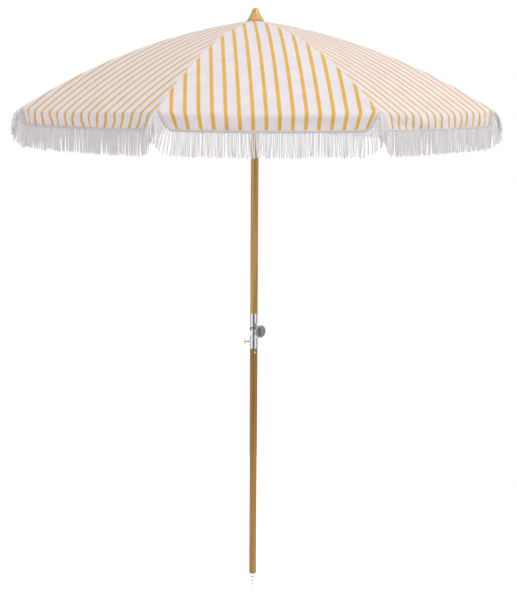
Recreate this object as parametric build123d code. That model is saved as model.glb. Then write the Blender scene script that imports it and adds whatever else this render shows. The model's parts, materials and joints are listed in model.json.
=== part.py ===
from build123d import *

import os
from math import asin, atan2, cos, degrees, hypot, radians, sin, tan

# Beach umbrella: a two-piece wooden pole on a ground spike, a chromed tilt joint with a
# knob, and an eight-rib folding canopy with hanging flaps and a cotton fringe.
# Millimetres, +Z up, origin at the tip of the spike on the pole's axis. The middle of one
# canopy panel faces -Y, so the ribs lie 22.5 degrees to each side of it.

# ---------------------------------------------------------------- pole and spike
POLE_RADIUS = 14.5
SPIKE_LENGTH = 81.0
SPIKE_TIP_RADIUS = 4.0
SPIKE_BAND = 5.0  # plain band under the wood
SPIKE_THREAD_PITCH = 17.0
SPIKE_THREAD_DEPTH = 2.4
SPIKE_STUD_RADIUS = 5.0
SPIKE_STUD_LENGTH = 40.0
LOWER_POLE_LENGTH = 932.5

SPIGOT_COVER = 2.5  # wood round the spigot
SPIGOT_WALL = 1.5
SPIGOT_DEPTH = 80.0  # length held inside the lower pole
SPIGOT_STANDOUT = 38.0  # length that enters the tilt joint
RUNNING_FIT = 0.05  # radial clearance of a pin or shaft that turns or slides
MOVING_GAP = 0.3  # gap between faces that move past each other
CUT_PAST = 1.0  # how far a cut runs past the face that it opens
CUT_REACH = 200.0  # a cut that takes away everything on one side

RIVET_RADIUS = 2.5
RIVET_HEAD_RADIUS = 4.5
RIVET_HEAD_THICKNESS = 1.5
RIVET_BELOW_JOINT = 14.0
UPPER_RIVET_BELOW_RIM = 8.0
UPPER_RIVET_DEPTH = 6.0  # length in the wood
RIVET_AZIMUTH = -82.0

# ---------------------------------------------------------------- tilt joint
PIVOT_ABOVE_POLE = 73.0
TILT_AXIS_AZIMUTH = -58.0  # the direction that the knob points in
SOCKET_RIM_ABOVE_PIVOT = 65.5
COLLAR_BEYOND_POLE = 1.1
COLLAR_BELOW_SPIGOT_TOP = 1.4
SOCKET_BEYOND_POLE = 0.5
SOCKET_WALL = 1.8  # the upper pole is turned down to fit inside it
SOCKET_DEPTH = 30.0
SHOULDER_GAP = 2.5  # from a tongue's round end to the sloping shoulder
SHOULDER_SLOPE = 35.0
FRICTION_WASHER_THICKNESS = 1.0
FRICTION_WASHER_INSIDE = 1.5  # from the tongue's edge
BOLT_RADIUS = 4.0
BOLT_HEAD_RADIUS = 8.0
BOLT_HEAD_THICKNESS = 4.0
BOLT_HEAD_CHAMFER = 1.0
BOLT_BELOW_FACE = 4.0  # from the knob's face to the bolt's end

# ---------------------------------------------------------------- tilt knob
KNOB_WASHER_RADIUS = 11.0
KNOB_WASHER_THICKNESS = 2.0
KNOB_RADIUS = 25.0
KNOB_HUB_RADIUS = 10.0
KNOB_HUB_LENGTH = 19.0
KNOB_DISC_THICKNESS = 9.0
KNOB_EDGE_ROUND = 2.0
KNOB_SCALLOPS = 12
KNOB_SCALLOP_RADIUS = 5.0
KNOB_SCALLOP_DEPTH = 2.0
KNOB_GRIP_LENGTH = 37.5
KNOB_GRIP_WIDTH = 9.0
KNOB_GRIP_HEIGHT = 6.0
KNOB_GRIP_ROUND = 4.0

# ---------------------------------------------------------------- thumb screw
SCREW_ABOVE_COLLAR = 25.0
SCREW_RADIUS = 3.0
SCREW_BOSS_RADIUS = 6.5
SCREW_BOSS_BEYOND_COLLAR = 3.4
SCREW_BAR_BEYOND_BOSS = 15.0
SCREW_BAR_LENGTH = 19.0
SCREW_BAR_RADIUS = 2.4
PAD_THICKNESS = 1.2
PAD_RADIUS = 2.6
PAD_STUD_RADIUS = 1.2
PAD_STUD_LENGTH = 2.0

# ---------------------------------------------------------------- canopy
RIB_COUNT = 8
RIM_RADIUS = 865.0  # at the rib tips
RIM_ABOVE_PIVOT = 843.5
CANOPY_ARC_RADIUS = 2270.0
CANOPY_TOP_SLOPE = 8.8
CANOPY_HOLE_RADIUS = 28.0
CLOTH = 1.0
SEAM_GAP = 0.3  # between the halves of a panel, which ride on different ribs
FLAP_HEIGHT = 58.0
FLAP_SIDE_SLANT = 34.0
FRINGE_HEIGHT = 74.0
FRINGE_THICKNESS = 3.0
FRINGE_CORNER = 24.0
FRINGE_BELOW_HEM = 6.0  # at the sides of a flap
FRINGE_SIDE_GAP = 0.8  # to the plane through the rib
HEM_DROP = 1.2  # from the hem's middle to the top edge of a flap

# ---------------------------------------------------------------- ribs and stretchers
ROD_RADIUS = 2.5
ROD_BELOW_CLOTH = 4.2  # rod's centre line under the cloth's middle surface
RIB_ARM_LENGTH = 24.0
RIB_ARM_WIDTH = 7.0
RIB_ARM_THICKNESS = 5.0
RIB_EYE_DROP = 5.0
RIB_END_GAP = 12.0
RIB_CAP_RADIUS = 3.2
RIB_CAP_LENGTH = 16.0
RIB_CAP_PAST_ROD = 4.0
STRETCHER_LENGTH = 405.0  # pin to pin, and also from the crown pin to the rib's ear
EAR_DROP = 8.0
EAR_RADIUS = 4.0
EAR_THICKNESS = 3.0
FORK_TINE = 2.0
FORK_WIDTH = 7.0
FORK_REACH = 16.0
FORK_BRIDGE = 9.0
FORK_MOUTH_GAP = 1.0
FORK_PIN_RADIUS = 1.25
HINGE_PIN_RADIUS = 1.5
HINGE_PIN_LENGTH = 12.0
HUB_WALL = 2.7  # wood between the pole and the slots
HUB_BEYOND_PIN = 8.0
HUB_SLOT_SIDE_GAP = 0.3
EYE_END_GAP = 1.3  # from a rib's or stretcher's eye to the floor of its slot
CROWN_ABOVE_PIN = 6.0
CROWN_BELOW_PIN = 14.0
CROWN_BOSS_RADIUS = 14.0
CROWN_ROOF = 4.0  # over the end of the pole
RUNNER_BORE_GAP = 0.6
RUNNER_ABOVE_PIN = 8.0
RUNNER_BELOW_PIN = 10.0
RUNNER_SLEEVE_WALL = 4.9
RUNNER_SLEEVE_LENGTH = 36.0
CATCH_WIDTH = 3.0
CATCH_HEIGHT = 56.0
CATCH_SLOT_WIDTH = 4.0
CATCH_STANDOUT = 4.2
CATCH_STRIP = 1.6
CATCH_ROOT = 4.0  # from the pole's axis to the strip's foot
CATCH_TAIL = 8.0  # from the pole's axis to the end of its upper leg
CATCH_NOSE_HEIGHT = 5.0
CATCH_SLOT_FLOOR = 1.5  # from the pole's axis
CATCH_SLOT_BELOW = 2.0
CATCH_SLOT_ABOVE = 4.0

# ---------------------------------------------------------------- top
PATCH_LAP = 0.5  # over the edge of the cloth
FINIAL_OVERHANG = 1.5  # past the patch
FINIAL_TOP_RADIUS = 12.0
FINIAL_HEIGHT = 46.0
FINIAL_LIP = 3.0
FINIAL_HOLLOW = 1.2  # how far the side curves inwards
FINIAL_DOME = 8.0
FINIAL_SCREW_RADIUS = 4.0
FINIAL_SCREW_LENGTH = 56.0

# ---------------------------------------------------------------- what follows from these
SPIGOT_RADIUS = POLE_RADIUS - SPIGOT_COVER
TONGUE_RADIUS = POLE_RADIUS
SHOULDER_DISTANCE = TONGUE_RADIUS + SHOULDER_GAP
FRICTION_WASHER_RADIUS = TONGUE_RADIUS - FRICTION_WASHER_INSIDE
COLLAR_RADIUS = POLE_RADIUS + COLLAR_BEYOND_POLE
SOCKET_RADIUS = POLE_RADIUS + SOCKET_BEYOND_POLE
SOCKET_BORE_RADIUS = SOCKET_RADIUS - SOCKET_WALL
SCREW_BOSS_REACH = COLLAR_RADIUS + SCREW_BOSS_BEYOND_COLLAR
SCREW_REACH = SCREW_BOSS_REACH + SCREW_BAR_BEYOND_BOSS
HUB_SLOT_FLOOR = POLE_RADIUS + HUB_WALL
HUB_SLOT_WIDTH = RIB_ARM_THICKNESS + 2 * HUB_SLOT_SIDE_GAP
HINGE_RADIUS = HUB_SLOT_FLOOR + EYE_END_GAP + RIB_ARM_WIDTH / 2
HUB_RADIUS = HINGE_RADIUS + HUB_BEYOND_PIN
RUNNER_BORE_RADIUS = POLE_RADIUS + RUNNER_BORE_GAP
RUNNER_SLEEVE_RADIUS = RUNNER_BORE_RADIUS + RUNNER_SLEEVE_WALL
PATCH_RADIUS = CANOPY_HOLE_RADIUS + PATCH_LAP
FINIAL_BASE_RADIUS = PATCH_RADIUS + FINIAL_OVERHANG

LOWER_POLE_TOP = SPIKE_LENGTH + LOWER_POLE_LENGTH
TILT_PIVOT_HEIGHT = LOWER_POLE_TOP + PIVOT_ABOVE_POLE
TILT_JOINT_TOP = TILT_PIVOT_HEIGHT + SOCKET_RIM_ABOVE_PIVOT
RIM_HEIGHT = TILT_PIVOT_HEIGHT + RIM_ABOVE_PIVOT

HALF_PANEL = 180.0 / RIB_COUNT
RIB_AZIMUTHS = [HALF_PANEL + k * 360.0 / RIB_COUNT for k in range(RIB_COUNT)]
HEM_APOTHEM = RIM_RADIUS * cos(radians(HALF_PANEL))
HEM_HALF_WIDTH = RIM_RADIUS * sin(radians(HALF_PANEL))

ARC_CENTRE_RADIUS = CANOPY_HOLE_RADIUS - CANOPY_ARC_RADIUS * sin(radians(CANOPY_TOP_SLOPE))
RIM_SLOPE = degrees(asin((RIM_RADIUS - ARC_CENTRE_RADIUS) / CANOPY_ARC_RADIUS))
ARC_CENTRE_HEIGHT = RIM_HEIGHT - CANOPY_ARC_RADIUS * cos(radians(RIM_SLOPE))


def arc_point(slope, below=0.0):
    """(radius, height) in a rib's plane, where the canopy falls at `slope` degrees."""
    reach = CANOPY_ARC_RADIUS - below
    return (
        ARC_CENTRE_RADIUS + reach * sin(radians(slope)),
        ARC_CENTRE_HEIGHT + reach * cos(radians(slope)),
    )


def slope_at(radius, below=0.0):
    """The canopy's fall in degrees at a radius in a rib's plane."""
    return degrees(asin((radius - ARC_CENTRE_RADIUS) / (CANOPY_ARC_RADIUS - below)))


CANOPY_TOP = arc_point(CANOPY_TOP_SLOPE)[1]
PATCH_BASE = CANOPY_TOP + CLOTH / 2 + MOVING_GAP
FINIAL_BASE = PATCH_BASE + CLOTH
CROWN_PIN = (
    HINGE_RADIUS,
    arc_point(slope_at(HINGE_RADIUS, ROD_BELOW_CLOTH), ROD_BELOW_CLOTH)[1] - RIB_EYE_DROP,
)
CROWN_TOP = CROWN_PIN[1] + CROWN_ABOVE_PIN
CROWN_BOTTOM = CROWN_PIN[1] - CROWN_BELOW_PIN
UPPER_POLE_TOP = CROWN_TOP - CROWN_ROOF


def ear_point():
    """The rib's stretcher pivot: EAR_DROP under the rod, STRETCHER_LENGTH from the crown pin."""
    low, high = CANOPY_TOP_SLOPE, RIM_SLOPE
    for _ in range(60):
        middle = (low + high) / 2
        point = arc_point(middle, ROD_BELOW_CLOTH + EAR_DROP)
        distance = hypot(point[0] - CROWN_PIN[0], point[1] - CROWN_PIN[1])
        low, high = (middle, high) if distance < STRETCHER_LENGTH else (low, middle)
    return point, middle


EAR_PIN, EAR_SLOPE = ear_point()
RUNNER_PIN = (HINGE_RADIUS, 2 * EAR_PIN[1] - CROWN_PIN[1])
RUNNER_BOTTOM = RUNNER_PIN[1] - RUNNER_BELOW_PIN - RUNNER_SLEEVE_LENGTH
CATCH_TOP = RUNNER_BOTTOM - MOVING_GAP
CATCH_FOOT = CATCH_TOP - CATCH_HEIGHT

LOWER_LAP_FACE = MOVING_GAP + FRICTION_WASHER_THICKNESS / 2
UPPER_LAP_FACE = LOWER_LAP_FACE - FRICTION_WASHER_THICKNESS - MOVING_GAP
SPIGOT_TOP = LOWER_POLE_TOP + SPIGOT_STANDOUT
RIVET_HEIGHT = LOWER_POLE_TOP - RIVET_BELOW_JOINT
SCREW_HEIGHT = LOWER_POLE_TOP + SCREW_ABOVE_COLLAR
KNOB_WASHER_START = TONGUE_RADIUS + MOVING_GAP
KNOB_START = KNOB_WASHER_START + KNOB_WASHER_THICKNESS + MOVING_GAP
KNOB_FACE = KNOB_START + KNOB_HUB_LENGTH + KNOB_DISC_THICKNESS
BOLT_END = KNOB_FACE - BOLT_BELOW_FACE
SOCKET_FLOOR = TILT_JOINT_TOP - SOCKET_DEPTH
UPPER_RIVET_HEIGHT = TILT_JOINT_TOP - UPPER_RIVET_BELOW_RIM
PAD_START = SPIGOT_RADIUS + MOVING_GAP
SCREW_START = PAD_START + PAD_THICKNESS + MOVING_GAP


# ---------------------------------------------------------------- shared shapes
def upright(radius, bottom, top):
    """A cylinder on the pole's axis."""
    return Pos(0, 0, (bottom + top) / 2) * Cylinder(radius, top - bottom)


def rod(start, end, radius):
    """A cylinder between two points."""
    line = Vector(*end) - Vector(*start)
    align = (Align.CENTER, Align.CENTER, Align.MIN)
    return Plane(origin=start, z_dir=line) * Cylinder(radius, line.length, align=align)


def rib_plate(sketch, thickness):
    """A plate in the plane of the rib along +X, from a sketch in (radius, height)."""
    return extrude(Plane.XZ * sketch, amount=thickness / 2, both=True)


def link_sketch(start, end, width):
    """A round-ended strip between two (radius, height) points."""
    across, up = end[0] - start[0], end[1] - start[1]
    middle = Pos((start[0] + end[0]) / 2, (start[1] + end[1]) / 2)
    return middle * Rot(0, 0, degrees(atan2(up, across))) * SlotCenterToCenter(hypot(across, up), width)


def outline_plate(points, thickness):
    """A plate in the rib's plane with straight edges."""
    return rib_plate(make_face(Polyline(points, close=True)), thickness)


def along_tilt_axis(shape):
    """Turns a shape made about +Y at the pivot's height zero into its place on the pole."""
    return Pos(0, 0, TILT_PIVOT_HEIGHT) * Rot(0, 0, TILT_AXIS_AZIMUTH - 90) * shape


def around(shape):
    """Copies of a shape on +X, one at each rib."""
    return [Rot(0, 0, azimuth) * shape for azimuth in RIB_AZIMUTHS]


# ---------------------------------------------------------------- pole
def ground_spike():
    """A tapered steel point with a coarse thread, and a stud that enters the pole."""
    band = SPIKE_LENGTH - SPIKE_BAND
    profile = [(0, SPIKE_LENGTH), (POLE_RADIUS, SPIKE_LENGTH), (POLE_RADIUS, band)]
    taper = (POLE_RADIUS - SPIKE_TIP_RADIUS) / (band - SPIKE_TIP_RADIUS)

    def taper_radius(height):
        return SPIKE_TIP_RADIUS + taper * (height - SPIKE_TIP_RADIUS)

    turns = int((band - SPIKE_TIP_RADIUS) / SPIKE_THREAD_PITCH)
    for turn in range(turns):
        crest = band - turn * SPIKE_THREAD_PITCH
        root = crest - SPIKE_THREAD_PITCH / 2
        profile.append((taper_radius(root) - SPIKE_THREAD_DEPTH, root))
        profile.append((taper_radius(crest - SPIKE_THREAD_PITCH), crest - SPIKE_THREAD_PITCH))
    profile.append((SPIKE_TIP_RADIUS, SPIKE_TIP_RADIUS))
    line = Polyline(profile) + ThreePointArc(
        (SPIKE_TIP_RADIUS, SPIKE_TIP_RADIUS),
        (SPIKE_TIP_RADIUS * sin(radians(45)), SPIKE_TIP_RADIUS * (1 - cos(radians(45)))),
        (0, 0),
    )
    face = make_face(line + Line((0, 0), (0, SPIKE_LENGTH)))
    point = revolve(Plane.XZ * face, axis=Axis.Z)
    return point + upright(SPIKE_STUD_RADIUS, SPIKE_LENGTH, SPIKE_LENGTH + SPIKE_STUD_LENGTH)


def rivet_at(height, azimuth, shank_start, outer_radius):
    """A flush rivet that points outwards from the pole's axis."""
    head_start = outer_radius - RIVET_HEAD_THICKNESS
    shank = rod((shank_start, 0, height), (head_start, 0, height), RIVET_RADIUS)
    head = rod((head_start, 0, height), (outer_radius + CUT_PAST, 0, height), RIVET_HEAD_RADIUS)
    span = 2 * RIVET_HEAD_RADIUS
    body = (shank + head) & upright(outer_radius, height - span, height + span)
    return Rot(0, 0, azimuth) * body


def spigot_rivet():
    return rivet_at(RIVET_HEIGHT, RIVET_AZIMUTH, SPIGOT_RADIUS - SPIGOT_WALL, POLE_RADIUS)


def lower_pole():
    """The wooden pole under the tilt joint, bored for the spigot tube and the spike's stud."""
    wood = upright(POLE_RADIUS, SPIKE_LENGTH, LOWER_POLE_TOP)
    wood -= upright(SPIGOT_RADIUS, LOWER_POLE_TOP - SPIGOT_DEPTH, LOWER_POLE_TOP)
    wood -= upright(SPIKE_STUD_RADIUS, SPIKE_LENGTH, SPIKE_LENGTH + SPIKE_STUD_LENGTH)
    return wood - spigot_rivet()


def spigot_tube():
    """The steel tube that joins the lower pole to the tilt joint."""
    bottom = LOWER_POLE_TOP - SPIGOT_DEPTH
    tube = upright(SPIGOT_RADIUS, bottom, SPIGOT_TOP)
    tube -= upright(SPIGOT_RADIUS - SPIGOT_WALL, bottom, SPIGOT_TOP)
    return tube - spigot_rivet()


# ---------------------------------------------------------------- tilt joint
def lap_half(face_y, side):
    """The half space beyond the lap face, as a large box. side is +1 or -1 along +Y."""
    return Pos(0, face_y + side * CUT_REACH / 2, 0) * Box(CUT_REACH, CUT_REACH, CUT_REACH)


def above_shoulder():
    """The space over the upper shoulder: a plane that slopes across the joint."""
    space = Pos(0, 0, SHOULDER_DISTANCE + CUT_REACH / 2) * Box(CUT_REACH, CUT_REACH, CUT_REACH)
    return Rot(0, SHOULDER_SLOPE, 0) * space


def tongue(radius):
    """A round-ended tongue about the pivot, reaching down from the shoulder above it."""
    strap = Pos(0, 0, CUT_REACH / 2) * Box(2 * radius, 4 * radius, CUT_REACH)
    eye = Rot(90, 0, 0) * Cylinder(radius, 4 * radius)
    return strap + eye


def bolt_hole(radius):
    return Rot(90, 0, 0) * Cylinder(radius, CUT_REACH)


def tilt_joint_upper():
    """The chromed upper half: a socket for the upper pole over a tongue with a lap face."""
    top = TILT_JOINT_TOP - TILT_PIVOT_HEIGHT
    barrel = upright(TONGUE_RADIUS, -TONGUE_RADIUS, top - SOCKET_DEPTH)
    solid = barrel & above_shoulder()
    lapped = barrel & tongue(TONGUE_RADIUS) & lap_half(UPPER_LAP_FACE, -1)
    socket = upright(SOCKET_RADIUS, top - SOCKET_DEPTH, top)
    socket -= upright(SOCKET_BORE_RADIUS, top - SOCKET_DEPTH, top)
    body = solid + lapped + socket - bolt_hole(BOLT_RADIUS + RUNNING_FIT)
    return along_tilt_axis(body) - upper_rivet()


def tilt_joint_lower():
    """The chromed lower half: a collar over the spigot under a tongue with a lap face."""
    bottom = LOWER_POLE_TOP + MOVING_GAP - TILT_PIVOT_HEIGHT
    bore_end = bottom + SPIGOT_STANDOUT + 2 * MOVING_GAP
    barrel = upright(TONGUE_RADIUS, bottom, TONGUE_RADIUS)
    flipped = Rot(180, 0, 180)
    solid = barrel & (flipped * above_shoulder())
    lapped = barrel & (Rot(180, 0, 0) * tongue(TONGUE_RADIUS)) & lap_half(LOWER_LAP_FACE, 1)
    collar = upright(COLLAR_RADIUS, bottom, bore_end - 2 * MOVING_GAP - COLLAR_BELOW_SPIGOT_TOP)
    body = along_tilt_axis(solid + lapped + collar - bolt_hole(BOLT_RADIUS))
    boss = rod((0, 0, SCREW_HEIGHT), (-SCREW_BOSS_REACH, 0, SCREW_HEIGHT), SCREW_BOSS_RADIUS)
    body += boss
    body -= upright(SPIGOT_RADIUS + RUNNING_FIT, LOWER_POLE_TOP, TILT_PIVOT_HEIGHT + bore_end)
    past_boss = -SCREW_BOSS_REACH - CUT_PAST
    return body - rod((0, 0, SCREW_HEIGHT), (past_boss, 0, SCREW_HEIGHT), SCREW_RADIUS + RUNNING_FIT)


def friction_washer():
    washer = Pos(0, LOWER_LAP_FACE - FRICTION_WASHER_THICKNESS / 2, 0) * (
        Rot(90, 0, 0) * Cylinder(FRICTION_WASHER_RADIUS, FRICTION_WASHER_THICKNESS)
    )
    return along_tilt_axis(washer - bolt_hole(BOLT_RADIUS))


def pivot_bolt():
    """The bolt through both tongues. Its head is on the side away from the knob."""
    head_end = -TONGUE_RADIUS - MOVING_GAP
    shank = rod((0, head_end, 0), (0, BOLT_END, 0), BOLT_RADIUS)
    head = rod((0, head_end - BOLT_HEAD_THICKNESS, 0), (0, head_end, 0), BOLT_HEAD_RADIUS)
    head = chamfer(head.edges().filter_by(GeomType.CIRCLE).sort_by(Axis.Y)[0], BOLT_HEAD_CHAMFER)
    return along_tilt_axis(shank + head)


def knob_washer():
    washer = rod(
        (0, KNOB_WASHER_START, 0),
        (0, KNOB_WASHER_START + KNOB_WASHER_THICKNESS, 0),
        KNOB_WASHER_RADIUS,
    )
    return along_tilt_axis(washer - bolt_hole(BOLT_RADIUS + RUNNING_FIT))


def tilt_knob():
    """A chromed clamping knob: a hub, a scalloped disc and a raised grip across its face."""
    disc_start = KNOB_START + KNOB_HUB_LENGTH
    hub = rod((0, KNOB_START, 0), (0, disc_start, 0), KNOB_HUB_RADIUS)
    disc = rod((0, disc_start, 0), (0, KNOB_FACE, 0), KNOB_RADIUS)
    disc = fillet(disc.edges().filter_by(GeomType.CIRCLE), KNOB_EDGE_ROUND)
    notch_centre = KNOB_RADIUS - KNOB_SCALLOP_DEPTH + KNOB_SCALLOP_RADIUS
    notch = rod((notch_centre, 0, 0), (notch_centre, KNOB_FACE + CUT_PAST, 0), KNOB_SCALLOP_RADIUS)
    for number in range(KNOB_SCALLOPS):
        disc -= Rot(0, number * 360 / KNOB_SCALLOPS, 0) * notch
    sink = KNOB_EDGE_ROUND  # the grip's foot is inside the disc
    grip = Pos(0, KNOB_FACE + (KNOB_GRIP_HEIGHT - sink) / 2, 0) * Box(
        KNOB_GRIP_WIDTH, KNOB_GRIP_HEIGHT + sink, KNOB_GRIP_LENGTH
    )
    grip = fillet(grip.edges().filter_by(Axis.Y), KNOB_GRIP_ROUND)
    bore = rod((0, 0, 0), (0, BOLT_END + MOVING_GAP, 0), BOLT_RADIUS + RUNNING_FIT)
    return along_tilt_axis(hub + disc + grip - bore)


# ---------------------------------------------------------------- thumb screw
def thumb_screw_pad():
    """The small swivel pad that presses on the spigot."""
    pad = rod((-PAD_START, 0, 0), (-PAD_START - PAD_THICKNESS, 0, 0), PAD_RADIUS)
    stud_end = -PAD_START - PAD_THICKNESS - PAD_STUD_LENGTH
    stud = rod((-PAD_START - PAD_THICKNESS, 0, 0), (stud_end, 0, 0), PAD_STUD_RADIUS)
    return Pos(0, 0, SCREW_HEIGHT) * (pad + stud)


def thumb_screw():
    """The T-headed clamping screw through the collar's boss."""
    shank = rod((-SCREW_START, 0, 0), (-SCREW_REACH, 0, 0), SCREW_RADIUS)
    half_bar = SCREW_BAR_LENGTH / 2 - SCREW_BAR_RADIUS
    bar = rod((-SCREW_REACH, 0, -half_bar), (-SCREW_REACH, 0, half_bar), SCREW_BAR_RADIUS)
    for end in (-half_bar, half_bar):
        bar += Pos(-SCREW_REACH, 0, end) * Sphere(SCREW_BAR_RADIUS)
    socket_end = -PAD_START - PAD_THICKNESS - PAD_STUD_LENGTH - MOVING_GAP
    socket = rod((-PAD_START, 0, 0), (socket_end, 0, 0), PAD_STUD_RADIUS + RUNNING_FIT)
    return Pos(0, 0, SCREW_HEIGHT) * (shank + bar - socket)


# ---------------------------------------------------------------- mast
def catch_outline():
    """The bent strip's shape in (radius, height), with its shoulder under the runner."""
    nose = POLE_RADIUS + CATCH_STANDOUT
    chin = CATCH_TOP - CATCH_NOSE_HEIGHT
    return [
        (CATCH_ROOT, CATCH_FOOT),
        (CATCH_ROOT + CATCH_STRIP, CATCH_FOOT),
        (nose, chin),
        (nose, CATCH_TOP),
        (CATCH_TAIL, CATCH_TOP),
        (CATCH_TAIL, CATCH_TOP - CATCH_STRIP),
        (nose - CATCH_STRIP, CATCH_TOP - CATCH_STRIP),
        (nose - CATCH_STRIP, chin),
    ]


def runner_catch():
    """A sprung strip in the pole that holds the runner up while the canopy is open."""
    return outline_plate(catch_outline(), CATCH_WIDTH)


def upper_rivet():
    return rivet_at(UPPER_RIVET_HEIGHT, RIVET_AZIMUTH, SOCKET_BORE_RADIUS - UPPER_RIVET_DEPTH, SOCKET_RADIUS)


def upper_pole():
    """The wooden pole from the tilt joint's socket to the crown."""
    wood = upright(SOCKET_BORE_RADIUS, SOCKET_FLOOR, TILT_JOINT_TOP)
    wood += upright(POLE_RADIUS, TILT_JOINT_TOP, UPPER_POLE_TOP)
    slot_foot, slot_top = CATCH_FOOT - CATCH_SLOT_BELOW, CATCH_TOP + CATCH_SLOT_ABOVE
    slot_end = POLE_RADIUS + CUT_PAST
    wood -= Pos((CATCH_SLOT_FLOOR + slot_end) / 2, 0, (slot_foot + slot_top) / 2) * Box(
        slot_end - CATCH_SLOT_FLOOR, CATCH_SLOT_WIDTH, slot_top - slot_foot
    )
    wood -= upright(FINIAL_SCREW_RADIUS, FINIAL_BASE - FINIAL_SCREW_LENGTH / 2, UPPER_POLE_TOP)
    return wood - upper_rivet()


def slotted_hub(bottom, top, pin_height):
    """A disc with a slot and a cross pin hole at each rib."""
    hub = upright(HUB_RADIUS, bottom, top)
    slot_length = HUB_RADIUS - HUB_SLOT_FLOOR + CUT_PAST
    slot = Pos(HUB_SLOT_FLOOR + slot_length / 2, 0, (bottom + top) / 2) * Box(
        slot_length, HUB_SLOT_WIDTH, top - bottom + 2 * CUT_PAST
    )
    for cut in around(slot) + around(hinge_pin(pin_height)):
        hub -= cut
    return hub


def hinge_pin(height):
    half = HINGE_PIN_LENGTH / 2
    return rod((HINGE_RADIUS, -half, height), (HINGE_RADIUS, half, height), HINGE_PIN_RADIUS)


def crown():
    """The notched hub at the top of the pole, which carries the eight ribs."""
    hub = slotted_hub(CROWN_BOTTOM, CROWN_TOP, CROWN_PIN[1])
    hub += upright(CROWN_BOSS_RADIUS, CROWN_TOP, PATCH_BASE)
    hub -= upright(POLE_RADIUS, CROWN_BOTTOM, UPPER_POLE_TOP)
    return hub - upright(FINIAL_SCREW_RADIUS, UPPER_POLE_TOP, PATCH_BASE)


def crown_pins():
    return Compound(around(hinge_pin(CROWN_PIN[1])))


def apex_patch():
    """The cloth disc that covers the canopy's hole, under the finial."""
    patch = upright(PATCH_RADIUS, PATCH_BASE, PATCH_BASE + CLOTH)
    return patch - upright(FINIAL_SCREW_RADIUS, PATCH_BASE, PATCH_BASE + CLOTH)


def finial_screw():
    return upright(
        FINIAL_SCREW_RADIUS,
        FINIAL_BASE - FINIAL_SCREW_LENGTH / 2,
        FINIAL_BASE + FINIAL_SCREW_LENGTH / 2,
    )


def finial():
    """A turned wooden bell with a domed crown."""
    top = FINIAL_BASE + FINIAL_HEIGHT
    lip = (FINIAL_BASE_RADIUS, FINIAL_BASE + FINIAL_LIP)
    shoulder = (FINIAL_TOP_RADIUS, top - FINIAL_DOME)
    waist = (
        (lip[0] + shoulder[0]) / 2 - FINIAL_HOLLOW,
        (lip[1] + shoulder[1]) / 2 - FINIAL_HOLLOW,
    )
    dome_radius = (FINIAL_TOP_RADIUS**2 + FINIAL_DOME**2) / (2 * FINIAL_DOME)
    half_turn = asin(FINIAL_TOP_RADIUS / dome_radius) / 2
    dome_middle = (dome_radius * sin(half_turn), top - dome_radius * (1 - cos(half_turn)))
    edge = Polyline((0, top), (0, FINIAL_BASE), (FINIAL_BASE_RADIUS, FINIAL_BASE), lip)
    edge += ThreePointArc(lip, waist, shoulder)
    edge += ThreePointArc(shoulder, dome_middle, (0, top))
    return revolve(Plane.XZ * make_face(edge), axis=Axis.Z) - finial_screw()


# ---------------------------------------------------------------- folding frame
def runner():
    """The sliding hub that the eight stretchers push up the pole."""
    bottom = RUNNER_PIN[1] - RUNNER_BELOW_PIN
    hub = slotted_hub(bottom, RUNNER_PIN[1] + RUNNER_ABOVE_PIN, RUNNER_PIN[1])
    hub += upright(RUNNER_SLEEVE_RADIUS, RUNNER_BOTTOM, bottom)
    return hub - upright(RUNNER_BORE_RADIUS, RUNNER_BOTTOM, RUNNER_PIN[1] + RUNNER_ABOVE_PIN)


def runner_pins():
    return Compound(around(hinge_pin(RUNNER_PIN[1])))


def pin_hole(pin, radius, length):
    return rod((pin[0], -length, pin[1]), (pin[0], length, pin[1]), radius)


def rib():
    """A sprung steel rib on +X: eyed arm, curved rod, ear for the stretcher and end cap."""
    arm_slope = slope_at(HINGE_RADIUS + RIB_ARM_LENGTH, ROD_BELOW_CLOTH)
    end_slope = slope_at(RIM_RADIUS - RIB_END_GAP, ROD_BELOW_CLOTH)
    start = arc_point(arm_slope, ROD_BELOW_CLOTH)
    middle = arc_point((arm_slope + end_slope) / 2, ROD_BELOW_CLOTH)
    end = arc_point(end_slope, ROD_BELOW_CLOTH)
    path = Plane.XZ * ThreePointArc(start, middle, end)
    body = sweep(Plane(origin=path @ 0, z_dir=path % 0) * Circle(ROD_RADIUS), path=path)
    body += rib_plate(link_sketch(CROWN_PIN, start, RIB_ARM_WIDTH), RIB_ARM_THICKNESS)
    ear_root = arc_point(EAR_SLOPE, ROD_BELOW_CLOTH + EAR_RADIUS - ROD_RADIUS / 2)
    body += rib_plate(link_sketch(EAR_PIN, ear_root, 2 * EAR_RADIUS), EAR_THICKNESS)
    cap_end = Vector(end[0], 0, end[1]) + (path % 1) * RIB_CAP_PAST_ROD
    cap_start = cap_end - (path % 1) * RIB_CAP_LENGTH
    body += rod(tuple(cap_start), tuple(cap_end), RIB_CAP_RADIUS)
    body -= pin_hole(CROWN_PIN, HINGE_PIN_RADIUS + RUNNING_FIT, RIB_ARM_THICKNESS)
    return body - pin_hole(EAR_PIN, FORK_PIN_RADIUS + RUNNING_FIT, EAR_THICKNESS)


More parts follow.
